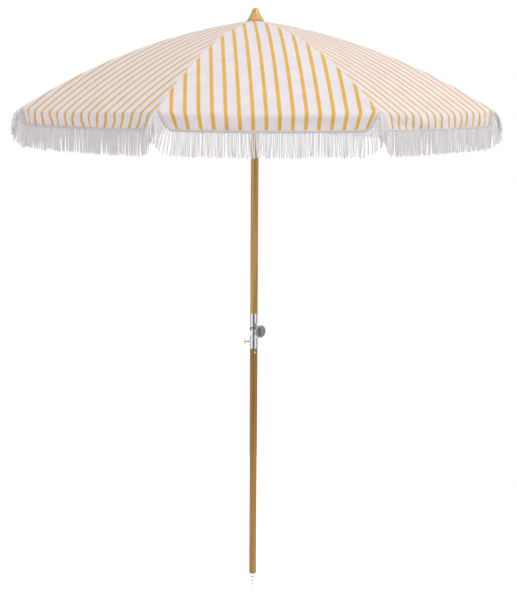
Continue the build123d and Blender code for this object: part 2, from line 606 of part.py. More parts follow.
def stretcher():
    """A stay on +X from the runner to the rib: eye, rod and a fork with its pin."""
    line = Vector(EAR_PIN[0] - RUNNER_PIN[0], 0, EAR_PIN[1] - RUNNER_PIN[1]).normalized()

    def at(distance):
        return RUNNER_PIN[0] + line.X * distance, RUNNER_PIN[1] + line.Z * distance

    fork_root = at(STRETCHER_LENGTH - FORK_REACH)
    eye_end = at(RIB_ARM_LENGTH)
    body = rod((eye_end[0], 0, eye_end[1]), (fork_root[0], 0, fork_root[1]), ROD_RADIUS)
    body += rib_plate(link_sketch(RUNNER_PIN, eye_end, RIB_ARM_WIDTH), RIB_ARM_THICKNESS)
    fork_width = EAR_THICKNESS + 2 * (MOVING_GAP + FORK_TINE)
    fork = rib_plate(link_sketch(fork_root, EAR_PIN, FORK_WIDTH), fork_width)
    mouth_end = at(STRETCHER_LENGTH + EAR_RADIUS + FORK_MOUTH_GAP)
    mouth_start = at(STRETCHER_LENGTH - FORK_BRIDGE + EAR_RADIUS)
    mouth_width = 2 * (EAR_RADIUS + FORK_MOUTH_GAP)
    mouth = rib_plate(link_sketch(mouth_start, mouth_end, mouth_width), EAR_THICKNESS + 2 * MOVING_GAP)
    body += fork - mouth
    body += pin_hole(EAR_PIN, FORK_PIN_RADIUS, fork_width / 2)
    return body - pin_hole(RUNNER_PIN, HINGE_PIN_RADIUS + RUNNING_FIT, RIB_ARM_THICKNESS)


# ---------------------------------------------------------------- canopy
def panel_profile(offset):
    """Three (distance from the axis, height) points along a panel's middle line."""
    slopes = (CANOPY_TOP_SLOPE, (CANOPY_TOP_SLOPE + RIM_SLOPE) / 2, RIM_SLOPE)
    shrink = cos(radians(HALF_PANEL))
    points = []
    for slope in slopes:
        radius, height = arc_point(slope)
        fall = atan2(tan(radians(slope)), shrink)
        points.append((radius * shrink + offset * sin(fall), height + offset * cos(fall)))
    return points


def half_wedge():
    """The space from the rib on +X to half the seam gap short of the panel's middle line."""
    reach = RIM_RADIUS + CUT_REACH
    side = radians(HALF_PANEL)
    inner = SEAM_GAP / 2 / sin(side)
    far = (inner + reach, reach * tan(side))
    outline = Polyline((inner, 0), (inner + reach, 0), far, close=True)
    return extrude(make_face(outline), amount=2 * RIM_HEIGHT)


def both_sides(half):
    return half, mirror(half, about=Plane.XZ)


def canopy():
    """The cloth over one rib, out to the middle of the panel on each side of it."""
    outer = ThreePointArc(*panel_profile(CLOTH / 2))
    inner = ThreePointArc(*panel_profile(-CLOTH / 2))
    section = make_face(outer + inner + Line(outer @ 0, inner @ 0) + Line(outer @ 1, inner @ 1))
    sheet = extrude(Plane.XZ * section, amount=HEM_HALF_WIDTH + CUT_REACH, both=True)
    left, right = both_sides((Rot(0, 0, HALF_PANEL) * sheet) & half_wedge())
    return left + right


def valance():
    """The flap that hangs from the hem on each side of one rib, with its fringe."""
    top = RIM_HEIGHT - HEM_DROP
    foot = RIM_HEIGHT - FLAP_HEIGHT
    tip = foot - FRINGE_HEIGHT
    near = -SEAM_GAP / 2
    flap_corner = -(HEM_HALF_WIDTH - FLAP_SIDE_SLANT)
    fringe_side = FRINGE_SIDE_GAP - HEM_HALF_WIDTH
    flap = [(near, top), (near, foot), (flap_corner, foot), (CLOTH - HEM_HALF_WIDTH, top)]
    fringe = [
        (near, foot),
        (near, tip),
        (fringe_side + FRINGE_CORNER, tip),
        (fringe_side, tip + FRINGE_CORNER),
        (fringe_side, top - FRINGE_BELOW_HEM),
        (flap_corner, foot),
    ]

    def hanging(points, thickness):
        face = Plane.YZ * make_face(Polyline(points, close=True))
        return Pos(HEM_APOTHEM - FRINGE_THICKNESS / 2, 0, 0) * extrude(face, amount=thickness / 2, both=True)

    half = hanging(flap, CLOTH) + hanging(fringe, FRINGE_THICKNESS)
    return Compound(list(both_sides(Rot(0, 0, HALF_PANEL) * half)))


# ---------------------------------------------------------------- writing
def nodes():
    """Each node's name and its function."""
    single = [
        ground_spike, lower_pole, spigot_tube, spigot_rivet, tilt_joint_lower, friction_washer,
        pivot_bolt, knob_washer, tilt_knob, thumb_screw_pad, thumb_screw, tilt_joint_upper,
        upper_rivet, upper_pole, runner_catch, crown, crown_pins, apex_patch, finial_screw,
        finial, runner, runner_pins,
    ]
    model = {make.__name__: make() for make in single}
    for make in (rib, stretcher, canopy, valance):
        for number, copy in enumerate(around(make()), start=1):
            model[f"{make.__name__}_{number}"] = copy
    return model


if __name__ == "__main__":
    os.makedirs("parts", exist_ok=True)
    for name, shape in nodes().items():
        export_step(shape, f"parts/{name}.step")
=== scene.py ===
import json
from math import asin, atan2, cos, exp, hypot, pi, radians, sin, sqrt, tan

import bmesh
import bpy
import numpy as np
from mathutils import Matrix, Vector, noise


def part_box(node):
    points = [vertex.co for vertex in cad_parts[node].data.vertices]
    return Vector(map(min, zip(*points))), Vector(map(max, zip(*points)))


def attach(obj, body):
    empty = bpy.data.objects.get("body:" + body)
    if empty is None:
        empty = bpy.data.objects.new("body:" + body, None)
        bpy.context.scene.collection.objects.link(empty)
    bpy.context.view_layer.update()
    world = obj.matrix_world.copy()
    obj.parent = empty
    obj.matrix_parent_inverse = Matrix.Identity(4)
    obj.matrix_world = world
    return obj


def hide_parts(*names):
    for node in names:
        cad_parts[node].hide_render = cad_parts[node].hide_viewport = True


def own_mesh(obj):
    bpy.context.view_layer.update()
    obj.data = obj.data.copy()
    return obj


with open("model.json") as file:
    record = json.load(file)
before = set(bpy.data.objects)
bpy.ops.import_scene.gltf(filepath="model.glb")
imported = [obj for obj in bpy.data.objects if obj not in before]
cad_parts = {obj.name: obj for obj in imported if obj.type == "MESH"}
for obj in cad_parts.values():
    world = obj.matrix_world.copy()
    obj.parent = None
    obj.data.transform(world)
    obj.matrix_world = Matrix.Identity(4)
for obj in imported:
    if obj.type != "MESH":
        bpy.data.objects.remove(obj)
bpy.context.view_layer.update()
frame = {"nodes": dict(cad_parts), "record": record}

# ---------------------------------------------------------------- sizes, in metres
RIB_COUNT = 8
HALF_PANEL = pi / RIB_COUNT
RIB_AZIMUTHS = [HALF_PANEL * (1 + 2 * k) for k in range(RIB_COUNT)]
RIM_RADIUS = 0.865
RIM_HEIGHT = 1.930
ARC_RADIUS = 2.270
TOP_SLOPE = radians(8.8)
HOLE_RADIUS = 0.028
CLOTH = 0.0009
FLAP_HEIGHT = 0.058
FLAP_SLANT = 0.034
FRINGE_LENGTH = 0.074

HEM_APOTHEM = RIM_RADIUS * cos(HALF_PANEL)
HEM_HALF_WIDTH = RIM_RADIUS * sin(HALF_PANEL)
HOLE_APOTHEM = HOLE_RADIUS * cos(HALF_PANEL)
ARC_CENTRE_RADIUS = HOLE_RADIUS - ARC_RADIUS * sin(TOP_SLOPE)
RIM_SLOPE = asin((RIM_RADIUS - ARC_CENTRE_RADIUS) / ARC_RADIUS)
ARC_CENTRE_HEIGHT = RIM_HEIGHT - ARC_RADIUS * cos(RIM_SLOPE)

# Strips of a sector, by their distance from the rib along the hem.
RIB_STRIP = 0.013
SIDE_STRIP = 0.090
SIDE_U = SIDE_STRIP / tan(HALF_PANEL)
RIB_U = RIB_STRIP / tan(HALF_PANEL)

# Woven pattern. The wander is how far a stripe strays from a straight line.
STRIPE_PITCH = 0.0400
STRIPE_WIDTH = 0.0115
STRIPE_OFFSET = -0.0072
STRIPE_WANDER = 0.0008
STRIPE_BLUR = 0.0004
WARP_PITCH = 0.0011
WEFT_PITCH = 0.0013
WEAVE_LENGTH_SHARE = 1.03

# Stretched cloth. A density is in waves per metre, and a fade is the distance over which they grow.
RIDGE_SOFTNESS = 0.004
PANEL_SAG = 0.005
SAG_GROWTH = 1.5
RIPPLE = 0.0008
RIPPLE_DENSITY = 9.0
RIPPLE_FADE = 0.03
PUCKER = 0.0006
PUCKER_DENSITY = 90.0
PUCKER_FADE = 0.02

# Flaps. The front one hangs straighter than the rest.
HEM_BEND = 0.018
FLAP_WAVE = 0.009
FLAP_WAVE_GAIN = 1.6
FLAP_WAVE_GROWTH = 0.8
FLAP_TAPER = 0.035
CORNER_SHARPNESS = 7
CORNER_START = 0.93
CORNER_LIFT = 0.35
FRONT_PANEL = 5
FRONT_WAVE_SHARE = 0.45
WAVE_SHARE = [FRONT_WAVE_SHARE if panel == FRONT_PANEL else 1.0 for panel in range(RIB_COUNT)]

# Tape, folded round the flap's edge
TAPE_INSIDE = 0.0055
TAPE_OUTSIDE = 0.003
TAPE_FOLD = 0.001
TAPE_FOLD_HALF_THICKNESS = 0.0015
TAPE_HALF_THICKNESS = 0.0013

# Fringe strands. Those on a flap's slanted ends splay out, fall less at first and then droop.
STRAND_PITCH = 0.0057
STRAND_RADIUS = 0.0019
STRAND_TWIST = 0.012
STRAND_ROOT = 0.002
STRAND_PLY_DEPTH = 0.38
STRAND_TIP_SHARE = 0.55
STRAND_LENGTH_SPREAD = 0.05
STRAND_PLACE_SPREAD = 0.25
SPLAY = 0.56
SPLAY_ALONG_HEM = 0.55
SPLAY_OUTWARDS = 0.85
SPLAY_GROWTH = 1.5
SPLAY_CURL = 2.4
SPLAY_LIFT = 0.55
SPLAY_DROOP = 0.38
DRIFT_DENSITY = 22.0
DRIFT_ALONG_HEM = 0.10
DRIFT_OUTWARDS = 0.08
FLUTTER = 0.05

# Mesh density
INNER_STEP = 0.014
OUTER_STEP = 0.0125
ACROSS_STEP = 0.012
FLAP_STEP = 0.006
FLAP_ROWS = 12
TAPE_STEP = 0.006
BORDER_SIDE_STEPS = 16
BORDER_FOOT_STEPS = 110
BORDER_CROWDING = 1.6
STRAND_SECTIONS = 22
STRAND_SIDES = 7
JOIN_DIGITS = 7


# ---------------------------------------------------------------- cloth surface
def arc_height(radius):
    """Height of the cloth over a rib."""
    return ARC_CENTRE_HEIGHT + sqrt(ARC_RADIUS**2 - (radius - ARC_CENTRE_RADIUS) ** 2)


def panel_axes(azimuth):
    """The outward and sideways directions of the panel whose middle line has this azimuth."""
    out = Vector((cos(azimuth), sin(azimuth), 0))
    return out, Vector((-sin(azimuth), cos(azimuth), 0))


def cloth_point(azimuth, u, v):
    """A point of the panel, u outwards along its middle line and v across it."""
    out, across = panel_axes(azimuth)
    spot = out * u + across * v
    from_rib = max(0.0, (u * tan(HALF_PANEL) - abs(v)) * cos(HALF_PANEL))
    soft = sqrt(from_rib**2 + RIDGE_SOFTNESS**2) - from_rib
    share = from_rib / (u * sin(HALF_PANEL))
    outwards = u / HEM_APOTHEM
    sag = PANEL_SAG * (1 - (1 - share) ** 2) * outwards**SAG_GROWTH
    ripple = RIPPLE * noise.noise(spot * RIPPLE_DENSITY) * min(1.0, from_rib / RIPPLE_FADE)
    near_hem = exp(-(HEM_APOTHEM - u) / PUCKER_FADE)
    pucker = PUCKER * near_hem * noise.noise(spot * PUCKER_DENSITY) * min(1.0, from_rib / PUCKER_FADE)
    height = arc_height(u / cos(HALF_PANEL) + soft * tan(HALF_PANEL)) - sag + ripple + pucker
    return Vector((spot.x, spot.y, height))


def run_length(u):
    """Length along the cloth from the hole to the line at u, for the woven pattern."""
    fall = asin((u / cos(HALF_PANEL) - ARC_CENTRE_RADIUS) / ARC_RADIUS)
    return ARC_RADIUS * (fall - TOP_SLOPE) * cos(HALF_PANEL) * WEAVE_LENGTH_SHARE


def hem_bend(depth):
    """How far the flap stands out and hangs down at a depth along the cloth under the hem."""
    start = atan2(tan(RIM_SLOPE), cos(HALF_PANEL))
    radius = HEM_BEND / (pi / 2 - start)
    angle = start + (pi / 2 - start) * min(1.0, depth / HEM_BEND)
    out = radius * (sin(angle) - sin(start))
    down = radius * (cos(start) - cos(angle)) + max(0.0, depth - HEM_BEND)
    return out, down


def flap_point(panel, v, depth):
    """A point of the flap under panel number `panel`, v across it and depth down it."""
    azimuth = panel_azimuth(panel)
    out, across = panel_axes(azimuth)
    stand, drop = hem_bend(depth)
    inside = max(-HEM_HALF_WIDTH, min(HEM_HALF_WIDTH, v))
    top = cloth_point(azimuth, HEM_APOTHEM, inside)
    loose = min(1.0, depth / FLAP_HEIGHT)
    strength = FLAP_WAVE * WAVE_SHARE[panel % RIB_COUNT]
    # One long wave and one short, each at its own place in the noise for every panel.
    wave = noise.noise(Vector((v * 9.0, depth * 26.0, panel * 7.3)))
    wave += 0.5 * noise.noise(Vector((v * 26.0, depth * 14.0, panel * 3.1 + 40)))
    stand += strength * loose**FLAP_WAVE_GROWTH * wave * FLAP_WAVE_GAIN
    spot = out * (HEM_APOTHEM + stand) + across * v
    return Vector((spot.x, spot.y, top.z - drop))


def panel_azimuth(panel):
    """Panels are numbered like the ribs, and each lies just after the rib with its number."""
    return RIB_AZIMUTHS[panel % RIB_COUNT] + HALF_PANEL


def flap_half_width(share, down):
    """Distance from the middle of the flap, for a share of its half width at a share of its depth."""
    taper = FLAP_TAPER * down
    corner = (FLAP_SLANT - FLAP_TAPER * HEM_HALF_WIDTH) * share**CORNER_SHARPNESS * down
    return share * HEM_HALF_WIDTH * (1 - taper) - corner


def flap_depth(share):
    """Depth of the flap's edge, which is rounded at the corners."""
    past = max(0.0, (share - CORNER_START) / (1 - CORNER_START))
    return FLAP_HEIGHT * (1 - CORNER_LIFT * (1 - sqrt(max(0.0, 1 - past**2))))


# ---------------------------------------------------------------- mesh helpers
def make_piece(name, vertices, faces, material, pattern=None, thickness=None):
    """A smooth-shaded object. The pattern holds each point's place in the weave."""
    mesh = bpy.data.meshes.new(name)
    mesh.from_pydata([tuple(v) for v in vertices], [], faces)
    mesh.validate()
    mesh.update()
    if pattern is not None:
        layer = mesh.attributes.new("weave", "FLOAT_VECTOR", "POINT")
        layer.data.foreach_set("vector", np.array(pattern, np.float32).ravel())
    mesh.polygons.foreach_set("use_smooth", [True] * len(mesh.polygons))
    piece = bpy.data.objects.new(name, mesh)
    bpy.context.scene.collection.objects.link(piece)
    mesh.materials.append(material)
    if thickness:
        mark_border_sharp(mesh)
        solid = piece.modifiers.new("thickness", "SOLIDIFY")
        solid.thickness = thickness
        solid.offset = 0
        solid.use_even_offset = False
    return piece


def mark_border_sharp(mesh):
    """Keeps the edge of a thickened sheet crisp."""
    used = {}
    for polygon in mesh.polygons:
        for key in polygon.edge_keys:
            used[key] = used.get(key, 0) + 1
    for edge in mesh.edges:
        if used.get(edge.key, 0) == 1:
            edge.use_edge_sharp = True


def grid(rows):
    """Vertices and faces of a grid given as rows of (position, pattern). Repeated points join."""
    places, pattern, index, faces = [], [], {}, []
    ids = []
    for row in rows:
        line = []
        for place, mark in row:
            key = tuple(round(c, JOIN_DIGITS) for c in place)
            if key not in index:
                index[key] = len(places)
                places.append(place)
                pattern.append(mark)
            line.append(index[key])
        ids.append(line)
    for low, high in zip(ids, ids[1:]):
        for a, b, c, d in zip(low, low[1:], high[1:], high):
            corners = [a]
            for corner in (b, c, d):
                if corner not in corners:
                    corners.append(corner)
            if len(corners) > 2:
                faces.append(corners)
    return places, faces, pattern


def gather(piece, rib, strip):
    """Puts a piece on its rib, and gives every strip but the one over the rib a mesh of its own."""
    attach(piece, f"rib_{rib + 1}")
    if strip == "rib":
        return piece
    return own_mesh(piece)


# ---------------------------------------------------------------- materials
def new_material(name):
    material = bpy.data.materials.new(name)
    material.use_nodes = True
    return material, material.node_tree.nodes, material.node_tree.links


def shader_of(nodes):
    return nodes["Principled BSDF"]


def math_node(nodes, links, operation, *values):
    node = nodes.new("ShaderNodeMath")
    node.operation = operation
    for socket, value in zip(node.inputs, values):
        if isinstance(value, (int, float)):
            socket.default_value = value
        else:
            links.new(value, socket)
    return node.outputs[0]


def wave_node(nodes, links, place, pitch):
    """A sine wave along a coordinate."""
    return math_node(nodes, links, "SINE", math_node(nodes, links, "MULTIPLY", place, 2 * pi / pitch))


def ramp_node(nodes, links, factor, stops):
    node = nodes.new("ShaderNodeValToRGB")
    elements = node.color_ramp.elements
    while len(elements) < len(stops):
        elements.new(0.5)
    for element, (place, colour) in zip(elements, stops):
        element.position = place
        element.color = (*colour, 1)
    links.new(factor, node.inputs[0])
    return node.outputs[0]


def mix_colours(nodes, links, factor, first, second, blend="MIX"):
    node = nodes.new("ShaderNodeMix")
    node.data_type = "RGBA"
    node.blend_type = blend
    for socket, value in ((node.inputs[0], factor), (node.inputs[6], first), (node.inputs[7], second)):
        if isinstance(value, (int, float)):
            socket.default_value = value
        elif isinstance(value, tuple):
            socket.default_value = (*value, 1)
        else:
            links.new(value, socket)
    return node.outputs[2]


def noise_node(nodes, links, vector, scale, detail=3.0, stretch=None):
    if stretch:
        mapping = nodes.new("ShaderNodeMapping")
        mapping.inputs["Scale"].default_value = stretch
        links.new(vector, mapping.inputs[0])
        vector = mapping.outputs[0]
    node = nodes.new("ShaderNodeTexNoise")
    node.inputs["Scale"].default_value = scale
    node.inputs["Detail"].default_value = detail
    links.new(vector, node.inputs["Vector"])
    return node.outputs[0]


def bump(nodes, links, height, distance, strength=1.0):
    node = nodes.new("ShaderNodeBump")
    node.inputs["Distance"].default_value = distance
    node.inputs["Strength"].default_value = strength
    links.new(height, node.inputs["Height"])
    links.new(node.outputs[0], shader_of(nodes).inputs["Normal"])


def object_coordinates(nodes):
    return nodes.new("ShaderNodeTexCoord").outputs["Object"]


def weave_coordinates(nodes, links):
    attribute = nodes.new("ShaderNodeAttribute")
    attribute.attribute_name = "weave"
    split = nodes.new("ShaderNodeSeparateXYZ")
    links.new(attribute.outputs["Vector"], split.inputs[0])
    return attribute.outputs["Vector"], split.outputs[0], split.outputs[1]


def canopy_cloth():
    """Off-white cotton canvas with woven-in yellow stripes."""
    material, nodes, links = new_material("canopy_cloth")
    vector, across, along = weave_coordinates(nodes, links)
    uneven = noise_node(nodes, links, vector, 60.0)
    middle = -STRIPE_OFFSET - STRIPE_WANDER / 2
    shift = math_node(nodes, links, "MULTIPLY_ADD", uneven, STRIPE_WANDER, middle)
    moved = math_node(nodes, links, "ADD", across, shift)
    phase = math_node(nodes, links, "PINGPONG", moved, STRIPE_PITCH / 2)
    edge = nodes.new("ShaderNodeMapRange")
    edge.inputs["From Min"].default_value = STRIPE_WIDTH / 2 + STRIPE_BLUR
    edge.inputs["From Max"].default_value = STRIPE_WIDTH / 2 - STRIPE_BLUR
    links.new(phase, edge.inputs["Value"])
    mottle = noise_node(nodes, links, vector, 14.0, 4.0)
    white = ramp_node(nodes, links, mottle, [(0.3, (0.82, 0.765, 0.81)), (0.7, (0.89, 0.835, 0.88))])
    yellow = ramp_node(nodes, links, mottle, [(0.3, (0.80, 0.44, 0.060)), (0.7, (0.88, 0.51, 0.085))])
    plain = mix_colours(nodes, links, edge.outputs[0], white, yellow)
    warp = wave_node(nodes, links, across, WARP_PITCH)
    weft = wave_node(nodes, links, along, WEFT_PITCH)
    thread = math_node(nodes, links, "MULTIPLY", warp, weft)
    slub = noise_node(nodes, links, vector, 1.0, 2.0, stretch=(900.0, 90.0, 1.0))
    relief = math_node(nodes, links, "MULTIPLY_ADD", slub, 0.8, thread)
    shade = ramp_node(nodes, links, slub, [(0.35, (0.93, 0.93, 0.93)), (0.65, (1.0, 1.0, 1.0))])
    colour = mix_colours(nodes, links, 1.0, plain, shade, "MULTIPLY")
    shader = shader_of(nodes)
    links.new(colour, shader.inputs["Base Color"])
    shader.inputs["Roughness"].default_value = 0.85
    shader.inputs["Sheen Weight"].default_value = 0.15
    shader.inputs["Sheen Roughness"].default_value = 0.5
    shader.inputs["Specular IOR Level"].default_value = 0.25
    bump(nodes, links, relief, 0.00025, 0.5)
    return material


def cotton(name, dark, light, scale):
    """White cotton for the fringe."""
    material, nodes, links = new_material(name)
    vector = object_coordinates(nodes)
    fibre = noise_node(nodes, links, vector, scale, 4.0)
    colour = ramp_node(nodes, links, fibre, [(0.3, dark), (0.7, light)])
    shader = shader_of(nodes)
    links.new(colour, shader.inputs["Base Color"])
    shader.inputs["Roughness"].default_value = 0.9
    shader.inputs["Sheen Weight"].default_value = 0.2
    bump(nodes, links, noise_node(nodes, links, vector, scale * 4, 2.0), 0.0004, 0.6)
    return material


def tape_cloth():
    """White cotton tape with ribs across it and two rows of stitches, coloured grey as painted shade
    along the hem's folded edge.
    """
    material, nodes, links = new_material("tape")
    vector, across, along = weave_coordinates(nodes, links)
    rib_pitch = 0.0016
    stitch_half_width = 0.0004
    stitch_half_pitch = 0.0018
    stitch_half_gap = 0.0006
    ribs = wave_node(nodes, links, along, rib_pitch)
    row = math_node(nodes, links, "PINGPONG", across, (TAPE_INSIDE + TAPE_OUTSIDE) / 4)
    near_row = math_node(nodes, links, "LESS_THAN", row, stitch_half_width)
    run = math_node(nodes, links, "PINGPONG", along, stitch_half_pitch)
    dash = math_node(nodes, links, "GREATER_THAN", run, stitch_half_gap)
    stitch = math_node(nodes, links, "MULTIPLY", near_row, dash)
    fibre = noise_node(nodes, links, vector, 300.0)
    # Painted shade: the tape's grey stands in for the shadow line along the hem's edge.
    base = ramp_node(nodes, links, fibre, [(0.3, (0.62, 0.59, 0.62)), (0.7, (0.74, 0.71, 0.74))])
    colour = mix_colours(nodes, links, stitch, base, (0.60, 0.57, 0.57))
    shader = shader_of(nodes)
    links.new(colour, shader.inputs["Base Color"])
    shader.inputs["Roughness"].default_value = 0.88
    shader.inputs["Sheen Weight"].default_value = 0.15
    height = math_node(nodes, links, "SUBTRACT", ribs, math_node(nodes, links, "MULTIPLY", stitch, 2.0))
    bump(nodes, links, height, 0.0003, 0.5)
    return material


def lacquered_wood(name, dark, light, gloss):
    """Straight-grained wood along Z under a clear lacquer."""
    material, nodes, links = new_material(name)
    vector = object_coordinates(nodes)
    warped = noise_node(nodes, links, vector, 1.0, 4.0, stretch=(160.0, 160.0, 3.0))
    fine = noise_node(nodes, links, vector, 1.0, 3.0, stretch=(900.0, 900.0, 14.0))
    broad = noise_node(nodes, links, vector, 1.0, 2.0, stretch=(40.0, 40.0, 1.2))
    coarse = math_node(nodes, links, "MULTIPLY", warped, 0.65)
    grain = math_node(nodes, links, "MULTIPLY_ADD", fine, 0.35, coarse)
    colour = ramp_node(nodes, links, grain, [(0.36, dark), (0.62, light)])
    tone = ramp_node(nodes, links, broad, [(0.35, (0.90, 0.88, 0.86)), (0.65, (1.0, 1.0, 1.0))])
    toned = mix_colours(nodes, links, 1.0, colour, tone, "MULTIPLY")
    shader = shader_of(nodes)
    links.new(toned, shader.inputs["Base Color"])
    rough = nodes.new("ShaderNodeMapRange")
    rough.inputs["To Min"].default_value = 0.32
    rough.inputs["To Max"].default_value = 0.50
    links.new(fine, rough.inputs["Value"])
    links.new(rough.outputs[0], shader.inputs["Roughness"])
    shader.inputs["Coat Weight"].default_value = gloss
    shader.inputs["Coat Roughness"].default_value = 0.12
    bump(nodes, links, grain, 0.00015, 0.35)
    return material


def plated_metal(name, colour, roughness, marks=0.04):
    """Chrome or zinc plate with faint wear."""
    material, nodes, links = new_material(name)
    vector = object_coordinates(nodes)
    wear = noise_node(nodes, links, vector, 160.0, 5.0)
    scratch = noise_node(nodes, links, vector, 1.0, 2.0, stretch=(1500.0, 1500.0, 120.0))
    half_wear = math_node(nodes, links, "MULTIPLY", wear, 0.5)
    both = math_node(nodes, links, "MULTIPLY_ADD", scratch, 0.5, half_wear)
    rough = nodes.new("ShaderNodeMapRange")
    rough.inputs["From Min"].default_value = 0.3
    rough.inputs["From Max"].default_value = 0.7
    rough.inputs["To Min"].default_value = max(0.03, roughness - marks)
    rough.inputs["To Max"].default_value = roughness + marks
    links.new(both, rough.inputs["Value"])
    shader = shader_of(nodes)
    tint = ramp_node(nodes, links, wear, [(0.3, tuple(0.9 * c for c in colour)), (0.7, colour)])
    links.new(tint, shader.inputs["Base Color"])
    shader.inputs["Metallic"].default_value = 1.0
    links.new(rough.outputs[0], shader.inputs["Roughness"])
    bump(nodes, links, scratch, 0.00004, 0.3)
    return material


def moulded_plastic():
    """Black plastic with a fine moulded texture."""
    material, nodes, links = new_material("washer_plastic")
    vector = object_coordinates(nodes)
    speck = noise_node(nodes, links, vector, 900.0)
    black = ramp_node(nodes, links, speck, [(0.3, (0.02, 0.02, 0.022)), (0.7, (0.035, 0.035, 0.038))])
    shader = shader_of(nodes)
    links.new(black, shader.inputs["Base Color"])
    shader.inputs["Roughness"].default_value = 0.55
    bump(nodes, links, speck, 0.0001, 0.4)
    return material


CLOTH_LOOK = canopy_cloth()
TAPE_LOOK_WITH_PAINTED_SHADE = tape_cloth()
FRINGE_LOOK = cotton("fringe_cotton", (0.82, 0.79, 0.81), (0.96, 0.93, 0.95), 220.0)
UPPER_WOOD = lacquered_wood("pole_wood", (0.380, 0.195, 0.035), (0.620, 0.365, 0.088), 0.55)
# The lower pole's wood is darker than the upper's partly in its own colour and partly as painted shade,
# which holds back the light the glowing floor throws on it.
LOWER_WOOD_DARKER_WITH_PAINTED_SHADE = lacquered_wood("pole_wood_darker_with_painted_shade", (0.235, 0.100, 0.008), (0.375, 0.180, 0.018), 0.20)
FINIAL_WOOD = lacquered_wood("finial_wood", (0.56, 0.30, 0.090), (0.84, 0.51, 0.185), 0.35)
HUB_WOOD = lacquered_wood("hub_wood", (0.36, 0.19, 0.06), (0.56, 0.34, 0.13), 0.3)
CHROME = plated_metal("chrome", (0.80, 0.80, 0.82), 0.10)
ZINC = plated_metal("zinc_steel", (0.60, 0.60, 0.62), 0.32, 0.08)
WASHER = moulded_plastic()
SLOT_LOOKS = {
    "pole_wood": UPPER_WOOD, "finial_wood": FINIAL_WOOD, "hub_wood": HUB_WOOD, "chrome": CHROME,
    "steel": ZINC, "washer": WASHER, "canopy_cloth": CLOTH_LOOK, "fringe_cotton": FRINGE_LOOK,
}


def finish_cad_nodes():
    """Each CAD node that stays gets the detailed material of its slot; the lower pole gets the darker
    wood, which carries painted shade.
    """
    slots = {entry["node"]: entry["material_slot"] for entry in frame["record"]["subparts"]}
    for name, piece in frame["nodes"].items():
        # The lower pole's darker wood is partly painted shade.
        look = LOWER_WOOD_DARKER_WITH_PAINTED_SHADE if name == "lower_pole" else SLOT_LOOKS[slots[name]]
        if piece.material_slots:
            for entry in piece.material_slots:
                entry.link = "OBJECT"
                entry.material = look
        else:
            piece.data.materials.append(look)


# ---------------------------------------------------------------- canopy cloth
def strip_rows(rib, side, low, high, start_u):
    """Rows of one strip of a half panel beside a rib, from start_u out to the hem."""
    azimuth = RIB_AZIMUTHS[rib] + side * HALF_PANEL
    inner_steps = max(2, int(round((SIDE_U - start_u) / INNER_STEP))) if start_u < SIDE_U else 0
    lines = [start_u + (SIDE_U - start_u) * i / inner_steps for i in range(inner_steps)]
    outer_steps = int(round((HEM_APOTHEM - SIDE_U) / OUTER_STEP))
    first = max(start_u, SIDE_U)
    lines += [first + (HEM_APOTHEM - first) * i / outer_steps for i in range(outer_steps + 1)]
    columns = max(3, int(round((high - low) / ACROSS_STEP)))
    rows = []
    for u in lines:
        edge = u * tan(HALF_PANEL)
        row = []
        for column in range(columns + 1):
            share = column / columns
            near = min(low, edge)
            away = near + (min(high, edge) - near) * share
            v = -side * (edge - away)
            row.append((cloth_point(azimuth, u, v), (v, run_length(u), side * away)))
        rows.append(row)
    return rows


def canopy_sector(rib):
    """The cloth over one rib: a strip on the rib, and two strips on each side of it."""
    number = rib + 1
    made = []
    left = strip_rows(rib, 1, 0.0, RIB_STRIP, HOLE_APOTHEM)
    right = strip_rows(rib, -1, 0.0, RIB_STRIP, HOLE_APOTHEM)
    places, faces, pattern = [], [], []
    for rows in (left, [row[::-1] for row in right]):
        more, shapes, marks = grid(rows)
        faces += [[i + len(places) for i in shape] for shape in shapes]
        places += more
        pattern += marks
    ridge = make_piece(f"canopy_{number}_over_rib", places, faces, CLOTH_LOOK, pattern, CLOTH)
    weld_ridge(ridge)
    made.append((ridge, faces, pattern, 0, "rib"))
    for side, word in ((1, "left"), (-1, "right")):
        for strip, low, high, start in (
            ("near", RIB_STRIP, SIDE_STRIP, RIB_U),
            ("far", SIDE_STRIP, HEM_HALF_WIDTH, SIDE_U),
        ):
            rows = strip_rows(rib, side, low, high, start)
            if side < 0:
                rows = [row[::-1] for row in rows]
            places, faces, pattern = grid(rows)
            name = f"canopy_{number}_{word}_{strip}"
            piece = make_piece(name, places, faces, CLOTH_LOOK, pattern, CLOTH)
            made.append((piece, faces, pattern, side, strip))
    for piece, faces, pattern, side, strip in made:
        gather(piece, rib, strip)
        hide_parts(f"canopy_{number}")


def weld_ridge(piece):
    """Joins the two halves of the strip over a rib, so that the ridge is one smooth surface."""
    shape = bmesh.new()
    shape.from_mesh(piece.data)
    bmesh.ops.remove_doubles(shape, verts=shape.verts, dist=1e-6)
    bmesh.ops.recalc_face_normals(shape, faces=shape.faces)
    for edge in shape.edges:
        edge.smooth = len(edge.link_faces) == 2
    shape.to_mesh(piece.data)
    shape.free()


# ---------------------------------------------------------------- flaps, tape and fringe
def flap_rows(panel, side, low, high):
    """Rows of a half flap between two shares of its half width."""
    columns = max(4, int(round((high - low) * HEM_HALF_WIDTH / FLAP_STEP)))
    rows = []
    for row in range(FLAP_ROWS + 1):
        line = []
        for column in range(columns + 1):
            share = low + (high - low) * column / columns
            depth = flap_depth(share) * row / FLAP_ROWS
            v = -side * flap_half_width(share, depth / FLAP_HEIGHT)
            across = -side * share * HEM_HALF_WIDTH
            mark = (across, run_length(HEM_APOTHEM) + depth, across)
            line.append((flap_point(panel, v, depth), mark))
        rows.append(line)
    return rows


